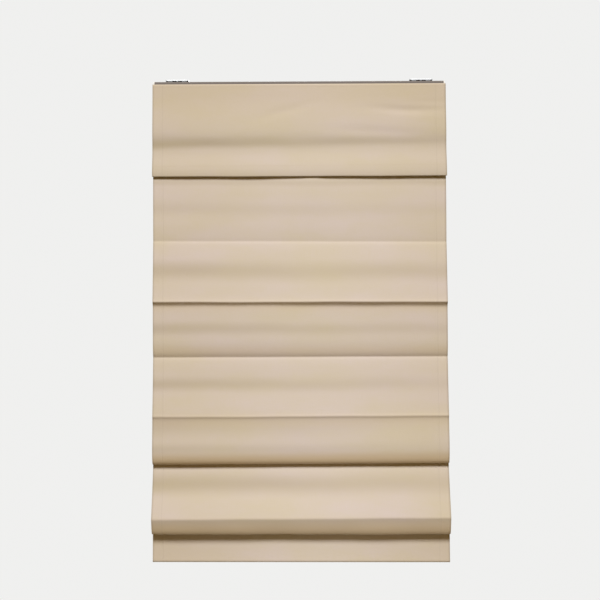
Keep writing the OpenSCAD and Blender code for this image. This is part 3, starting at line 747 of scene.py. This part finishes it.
def coil_tree():
    """Turns of cord wound side by side on a spool, along X from the place where the cord leaves it."""
    source, size = node_tree("Cord turns", ("Turns", "Coil radius", "Radius", "Pitch"))
    coil = source.node("GeometryNodeCurveSpiral", {
        "Resolution": 40, "Rotations": size["Turns"], "Start Radius": size["Coil radius"],
        "End Radius": size["Coil radius"], "Height": size["Turns"] * size["Pitch"]})
    laid = source.node("GeometryNodeTransform", {"Geometry": coil, "Rotation": (0, math.radians(90), 0)})
    round_ = source.node("GeometryNodeTransform", {"Geometry": laid, "Rotation": (math.radians(90), 0, 0)})
    cord = source.node("GeometryNodeCurvePrimitiveCircle", {"Resolution": 10, "Radius": size["Radius"]})
    made = source.node("GeometryNodeCurveToMesh", {
        "Curve": round_, "Profile Curve": cord, "Fill Caps": True})
    return end_tree(source, made, size["Material"])


def grown(name, lines, tree, sizes, material):
    """A plain mesh that a geometry tree grows on lines, each a list of points."""
    points, edges = [], []
    for line in lines:
        first = len(points)
        points += [tuple(p) for p in line]
        edges += [(i, i + 1) for i in range(first, len(points) - 1)]
    seed = show(name + "_line", bpy.data.meshes.new(name + "_line"))
    seed.data.from_pydata(points, edges, [])
    grow = seed.modifiers.new("Grow", "NODES")
    grow.node_group = tree
    values = {**sizes, "Material": material}
    for socket in tree.interface.items_tree:
        if socket.in_out == "INPUT" and socket.name in values:
            grow[socket.identifier] = values[socket.name]
    shape = bpy.data.meshes.new_from_object(seed.evaluated_get(bpy.context.evaluated_depsgraph_get()))
    shape.name = name
    shape.shade_smooth()
    bpy.data.objects.remove(seed)
    if not shape.polygons:
        raise RuntimeError(f"{name} came out empty")
    return show(name, shape, material)


def across_line(x, path, row, depth, lift, inset):
    """Points along one row of a sheet, a little off its face and short of its sides."""
    side = beside(path, lift)[row]
    keep = np.abs(x) <= x[-1] - inset
    return [(px, depth - p[0], p[1]) for px, p in zip(x[keep], side[keep])]


def down_line(x, path, column, depth, lift, rows):
    """Points down one column of a sheet, a little off its face."""
    side = beside(path, lift)[rows, column]
    return [(x[column], depth - p[0], p[1]) for p in side]


def row_at(path, height, first=0):
    """The row nearest to a height, from a first row on."""
    middle = path[first:, path.shape[1] // 2, 1]
    return first + int(np.argmin(np.abs(middle - height)))


def valley_row(path, name):
    """The row at a valley: nearest to its height and to the back."""
    middle = path[:, path.shape[1] // 2]
    return int(np.argmin(np.abs(middle[:, 1] + DROP * FOLDS[name][1]) + middle[:, 0]))


def raised(piece):
    """Gives the piece a mesh of its own; the share of the folds kept as the blind rises is worked out and
    left unused.
    """
    top = SHADE_HIGH.z
    span = top + DROP * FOLDS["valley_4"][1]
    1 - LIFT / span
    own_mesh(piece)


def swung(piece):
    """Gives a piece of the valance a mesh of its own."""
    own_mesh(piece)


def settings_of(context):
    scene = context.scene
    return scene.blind_cloth, scene.blind_trim, scene.blind_hardware, scene.blind_stage


def stitch_sizes(trim):
    return {"Pitch": trim.stitch_pitch, "Length": trim.stitch_length, "Radius": trim.thread_radius}


class BLIND_OT_shade(bpy.types.Operator):
    """Make the shade cloth: its folded length, the skirt round the bar, the side hems and their stitches"""
    bl_idname = "blind.shade"
    bl_label = "Shade cloth"

    def execute(self, context):
        cloth, trim = settings_of(context)[:2]
        width = SHADE_WIDTH
        depth = cloth_line(cloth)
        x = columns_across(width, cloth)
        runs = shade_runs(x, cloth)
        thread = finish("Shade thread", thread_finish, trim.thread_colour, THREAD_PITCH)
        stitches = stitch_tree()
        half = cloth.thickness / 2
        parts = (("shade_folds", runs[:SKIRT_RUN], "head"), ("shade_skirt", runs[SKIRT_RUN:], "lower_edge"))
        for name, part, body in parts:
            hangs = body == "head"
            path = section(part, cloth.crease)
            rows = along(path)
            length = rows[-1]
            if hangs:
                dye = cloth.colour
                marks = [[(rows[row_at(path, -DROP * share)], *mark) for share, *mark in bands]
                         for bands in (CREASE_AND_SHADE_BANDS, FOLD_SHADE_BANDS)]
            else:
                # Painted light: the skirt's dye is made paler to look more brightly lit
                dye = shaded(cloth.colour, SKIRT_PAINTED_LIGHT)
                marks = (), (), SKIRT_SIDE_SHADE
            fabric = finish(name + "_weave", cloth_finish, dye, cloth, width, length, True, *marks)
            piece = sheet_object(name, x, path, depth, fabric, cloth.thickness)
            hem_foot = len(path) if hangs else row_at(path, BAR_HIGH.z + cloth.side_hem)
            layer = beside(path, -half - HEM_LIFT)[:hem_foot]
            hems = []
            for side, columns in zip(HANDS, (slice(0, HEM_COLUMNS), slice(-HEM_COLUMNS, None))):
                hem = f"{name}_hem_{side}"
                fabric = finish(
                    hem + "_weave", cloth_finish, cloth.colour, cloth, cloth.side_hem, length, False)
                hems.append(sheet_object(hem, x[columns], layer[:, columns], depth, fabric, HEM_GAUGE))
            ends = [2, len(layer) - 6]
            if hangs:
                tape_row = valley_row(path, "valley_3")
                ends[1:1] = tape_row - TAPE_ROWS, tape_row + TAPE_ROWS
            lines = [down_line(x, layer, column, depth, -HEM_GAUGE, slice(*sewn_rows))
                     for column in (HEM_COLUMNS - 1, len(x) - HEM_COLUMNS)
                     for sewn_rows in zip(ends[::2], ends[1::2])]
            if not hangs:
                seam = row_at(path, BAR_HIGH.z + HEM_SEAM)
                back = row_at(path, BAR_HIGH.z + HEM_SEAM, row_at(path, SHADE_LOW.z))
                lines += [across_line(x, path, row, depth, half, inset=0.004) for row in (seam, back)]
            sewn = grown(name + "_stitches", lines, stitches, stitch_sizes(trim), thread)
            for one in (piece, *hems, sewn):
                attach(one, body)
                if hangs:
                    raised(one)
            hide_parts("shade_cloth")
        return {"FINISHED"}


class BLIND_OT_valance(bpy.types.Operator):
    """Make the valance with its wrinkles, its hem and its stitches"""
    bl_idname = "blind.valance"
    bl_label = "Valance"

    def execute(self, context):
        cloth, trim = settings_of(context)[:2]
        width = VALANCE_HIGH.x - VALANCE_LOW.x
        depth = cloth_line(cloth)
        x = columns_across(width, cloth)
        path = section(valance_runs(x, cloth), cloth.crease)
        path[..., 0] -= valance_wrinkles(x, path)
        rows = along(path)
        length = rows[-1]
        front = path[:VALANCE_FRONT]
        # A crease band with painted shade, and painted shade at the valance's top
        fall, *crease_and_shade = VALANCE_CREASE_AND_SHADE
        marks = [(rows[row_at(front, VALANCE_HIGH.z - fall)], *crease_and_shade)], [VALANCE_TOP_SHADE]
        # The valance's colour is painted shade: darker and yellower than the cloth
        fabric = finish(
            "valance_weave", cloth_finish, cloth.valance_shaded_colour, cloth, width, length, True, *marks)
        piece = sheet_object("valance_cloth", x, path, depth, fabric, cloth.thickness)
        half = cloth.thickness / 2
        seam = row_at(path, VALANCE_HIGH.z - VALANCE_SEAM)
        hem = row_at(front, VALANCE_LOW.z + VALANCE_HEM)
        lines = [across_line(x, path, row, depth, half, inset=0.003) for row in (seam, hem)]
        thread = finish("Valance thread", thread_finish, trim.thread_colour, THREAD_PITCH)
        sewn = grown("valance_stitches", lines, stitch_tree(), stitch_sizes(trim), thread)
        for one in (piece, sewn):
            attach(one, "head")
            swung(one)
        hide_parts("valance")
        return {"FINISHED"}


def tape_path(x, node, batten, gauge, seed):
    """Section of a batten tape: out along the web, round the batten and back, for every column."""
    low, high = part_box(node)
    rod_low, rod_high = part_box(batten)
    rod = (rod_low + rod_high) / 2
    bend = (high.z - low.z - gauge) / 2
    half = gauge * 0.52
    lean = math.asin(half / bend)
    turns = np.linspace(math.pi - lean, lean - math.pi, 29)
    webs = np.linspace(low.y, rod.y - bend * math.cos(lean), 9)[:-1]
    line = [(y, half) for y in webs]
    line += [(rod.y + bend * math.cos(a), bend * math.sin(a)) for a in turns]
    line += [(y, -half) for y in reversed(webs)]
    path = np.empty((len(line), len(x), 2))
    for i, (y, z) in enumerate(line):
        slack = np.clip((rod.y - y) / (rod.y - low.y), 0, 1)
        path[i, :, 0] = -y
        path[i, :, 1] = rod.z + z + 0.0005 * slack * stray(3 * x, seed)
    return path


class BLIND_OT_tapes(bpy.types.Operator):
    """Make the batten tapes, sew them to the cloth and sew the cord rings on"""
    bl_idname = "blind.tapes"
    bl_label = "Batten tapes and rings"

    def execute(self, context):
        trim = settings_of(context)[1]
        twill = finish("Tape twill", tape_finish, trim.tape_colour)
        thread = finish("Tape thread", thread_finish, shaded(trim.tape_colour, 1.1), THREAD_PITCH)
        stitches, wraps = stitch_tree(), wrap_tree()
        for k in BATTENS:
            body = "lower_edge" if k == BATTENS[-1] else f"batten_row_{k}"
            node, batten = f"batten_tape_{k}", f"batten_{k}"
            low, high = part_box(node)
            x = np.linspace(low.x, high.x, TAPE_COLUMNS)
            path = tape_path(x, node, batten, trim.tape_gauge, 60 + k)
            tape = sheet_object(f"tape_{k}", x, path, 0, twill, trim.tape_gauge)
            rows = (1, 7, len(path) - 8, len(path) - 2)
            lines = [across_line(x, path, row, 0, -trim.tape_gauge / 2, inset=0.003) for row in rows]
            sewn = grown(f"tape_stitches_{k}", lines, stitches, stitch_sizes(trim), thread)
            rings_low, rings_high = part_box(f"cord_rings_{k}")
            middle = (rings_low + rings_high) / 2
            wire = (rings_high.z - rings_low.z) / 2
            outer = (rings_high.y - rings_low.y) / 2
            bend = outer - wire / 2
            arcs = [[(side + bend * math.sin(a), middle.y - bend * math.cos(a), middle.z)
                     for a in np.radians(np.linspace(-16, 16, 9))]
                    for side in (rings_low.x + outer, rings_high.x - outer)]
            tied = grown(f"ring_thread_{k}", arcs, wraps, {
                "Pitch": 2 * RING_THREAD, "Wrap radius": wire * 1.55, "Radius": RING_THREAD}, thread)
            for one in (tape, sewn, tied):
                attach(one, body)
            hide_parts(node)
        return {"FINISHED"}


class BLIND_OT_cords(bpy.types.Operator):
    """Make the lift cords with their twist, and the turns left on the spools"""
    bl_idname = "blind.cords"
    bl_label = "Lift cords"

    def execute(self, context):
        trim = settings_of(context)[1]
        fibre = finish("Cord fibre", thread_finish, trim.cord_colour, CORD_PITCH)
        coils = coil_tree()
        for side, way in zip(HANDS, (-1, 1)):
            node = f"lift_cord_{side}"
            low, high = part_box(node)
            middle = (low + high) / 2
            radius = (high.x - low.x) / 2
            cord = twisted(middle.x, middle.y, low.z, high.z, radius, trim.cord_lay)
            piece = show(f"cord_{side}", cord, fibre)
            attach(piece, "head")
            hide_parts(node)
            1 - LIFT / (high.z + DROP * FOLDS["valley_4"][1])
            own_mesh(piece)
            wound = grown(f"cord_turns_{side}", [[(0, 0, 0), (0, 0, 0.001)]], coils, {
                "Turns": trim.spare_turns, "Coil radius": middle.y - SHAFT[1],
                "Radius": radius * 0.94, "Pitch": radius * 2.1}, fibre)
            for v in wound.data.vertices:
                v.co = Vector((middle.x + way * v.co.x, SHAFT[1] + v.co.y, SHAFT[2] + v.co.z))
            if way < 0:
                wound.data.flip_normals()
            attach(wound, "winding_shaft")
        return {"FINISHED"}


def twisted(x, y, low, high, radius, lay):
    """A cord of three strands, twisted once in each lay."""
    sides = 12
    rings = int((high - low) / (lay / 9))
    points = []
    for i in range(rings + 1):
        z = high + (low - high) * i / rings
        turn = 2 * math.pi * (high - z) / lay
        for k in range(sides):
            a = 2 * math.pi * k / sides
            r = radius * (0.86 + 0.13 * abs(math.cos(1.5 * a)))
            points.append((x + r * math.cos(a + turn), y + r * math.sin(a + turn), z))
    faces = [(i + k, i + sides + k, i + sides + (k + 1) % sides, i + (k + 1) % sides)
             for i in range(0, rings * sides, sides) for k in range(sides)]
    faces += [tuple(range(sides)), tuple(reversed(range(rings * sides, (rings + 1) * sides)))]
    mesh = bpy.data.meshes.new("cord")
    mesh.from_pydata(points, [], faces)
    mesh.shade_smooth()
    return mesh


def both(*names):
    """Names of nodes that come in pairs."""
    return [f"{name}_{side}" for name in names for side in HANDS]


class BLIND_OT_hardware(bpy.types.Operator):
    """Give the rail, brackets, lift, spring motor, battens and bar their finishes"""
    bl_idname = "blind.hardware"
    bl_label = "Hardware finishes"

    def execute(self, context):
        hard = settings_of(context)[2]
        finishes = {
            # Painted shadow: the rail's dark paint stands for the shadow gap above the valance
            finish("Rail paint", paint_finish, hard.rail_shadow_colour): ["headrail"],
            finish("Hook pile", pile_finish, hard.hook_colour, 900): ["hook_strip"],
            finish("Loop pile", pile_finish, hard.loop_colour, 1400): ["loop_strip"],
            finish("Zinc plate", plated_finish, hard.zinc_colour, 260, (1, 1, 1), 0.3): [
                "lift_shaft", "storage_axle", *both("mounting_bracket", "latch_rivet")],
            finish("Spring steel", plated_finish, hard.spring_colour, 900, (1, 30, 30), 0.22): [
                "flat_spring"],
            finish("Drawn aluminium", plated_finish, hard.bar_colour, 1200, (0.6, 24, 24), 0.3): [
                "bottom_bar"],
            finish("Glass fibre", fibre_finish, hard.rod_colour): [f"batten_{k}" for k in BATTENS],
            finish("Dark moulding", moulded_finish, hard.dark_colour, 0.36): [
                "output_drum", "storage_drum", *both("cord_spool")],
            finish("White moulding", moulded_finish, hard.white_colour, 0.38): [
                "spring_motor_case", "spring_motor_cover", *(f"cord_rings_{k}" for k in BATTENS),
                *both("headrail_end_cap", "bracket_latch", "spool_cradle", "cord_stop", "bottom_bar_cap")],
        }
        for material, nodes in finishes.items():
            for node in nodes:
                slots = frame["nodes"][node].data.materials
                slots.clear()
                slots.append(material)
        return {"FINISHED"}


class BLIND_OT_stage(bpy.types.Operator):
    """Set the pale floor, the backdrop, the lamps and the camera"""
    bl_idname = "blind.stage"
    bl_label = "Stage"

    def execute(self, context):
        stage = settings_of(context)[3]
        scene = context.scene
        scene.view_settings.view_transform = "Standard"

        turns = np.linspace(0, 2 * math.pi, FLOOR_SIDES + 1)[:-1]
        rim = [(FLOOR_RADIUS * math.cos(a), FLOOR_RADIUS * math.sin(a), FLOOR_HEIGHT) for a in turns]
        floor_mesh = bpy.data.meshes.new("floor")
        floor_mesh.from_pydata(rim, [], [tuple(range(FLOOR_SIDES))])
        floor = show("floor", floor_mesh, finish("Floor", floor_finish, stage.floor))

        world = bpy.data.worlds.new("Studio")
        scene.world = world
        world.use_nodes = True
        world.node_tree.nodes.clear()
        source = Socket(world.node_tree)
        rays = source.node("ShaderNodeLightPath").socket.node.outputs
        direct, mirrored, through = (
            Socket(source.tree, rays[f"Is {kind} Ray"]) for kind in ("Camera", "Glossy", "Transmission"))
        seen = source.math("MAXIMUM", direct, source.math("MAXIMUM", mirrored, through))
        colour = seen.mix(shaded(stage.ambient, 1), shaded(stage.backdrop, 1))
        light = source.node("ShaderNodeBackground", {"Color": colour})
        source.node("ShaderNodeOutputWorld", {"Surface": light})

        for name, (place, size), power in (
                ("key_lamp", KEY_LAMP, stage.key_power), ("back_lamp", BACK_LAMP, stage.back_power)):
            lamp = bpy.data.lights.new(name, "AREA")
            lamp.energy = power
            lamp.shape = "DISK"
            lamp.size = size
            lamp_object = bpy.data.objects.new(name, lamp)
            lamp_object.location = place
            lamp_object.rotation_euler = (LAMP_AIM - place).to_track_quat("-Z", "Y").to_euler()
            scene.collection.objects.link(lamp_object)

        lens = bpy.data.cameras.new("camera")
        cloth_depth = stage.distance + cloth_line(scene.blind_cloth)
        lens.lens = lens.sensor_width * cloth_depth / stage.frame_height
        camera = bpy.data.objects.new("camera", lens)
        drop = cloth_depth * math.tan(stage.pitch)
        camera.location = (stage.aim_side, -stage.distance, stage.aim_height - drop)
        camera.rotation_euler = (math.radians(90) + stage.pitch, stage.roll, 0)
        scene.collection.objects.link(camera)
        scene.camera = camera
        return {"FINISHED"}


class BLIND_PT_panel(bpy.types.Panel):
    """Lists the blind's settings and the steps that make it"""
    bl_idname = "BLIND_PT_panel"
    bl_label = "Roman blind"
    bl_space_type = "VIEW_3D"
    bl_region_type = "UI"
    bl_category = "Blind"

    def draw(self, context):
        for group in settings_of(context):
            box = self.layout.box()
            for key in group.__annotations__:
                box.prop(group, key)
        for step in STEPS:
            self.layout.operator(step.bl_idname)


STEPS = (
    BLIND_OT_stage, BLIND_OT_shade, BLIND_OT_valance, BLIND_OT_tapes, BLIND_OT_cords, BLIND_OT_hardware)
GROUPS = {
    "blind_cloth": ClothSettings,
    "blind_trim": TrimSettings,
    "blind_hardware": HardwareSettings,
    "blind_stage": StageSettings,
}


def register():
    for group in (*GROUPS.values(), *STEPS, BLIND_PT_panel):
        bpy.utils.register_class(group)
    for name, group in GROUPS.items():
        setattr(bpy.types.Scene, name, PointerProperty(type=group))


def unregister():
    for name in GROUPS:
        delattr(bpy.types.Scene, name)
    for group in (BLIND_PT_panel, *reversed(STEPS), *reversed(GROUPS.values())):
        bpy.utils.unregister_class(group)


def main():
    register()
    bpy.ops.blind.stage()
    bpy.ops.blind.shade()
    bpy.ops.blind.valance()
    bpy.ops.blind.tapes()
    bpy.ops.blind.cords()
    bpy.ops.blind.hardware()


if __name__ == "__main__":
    main()
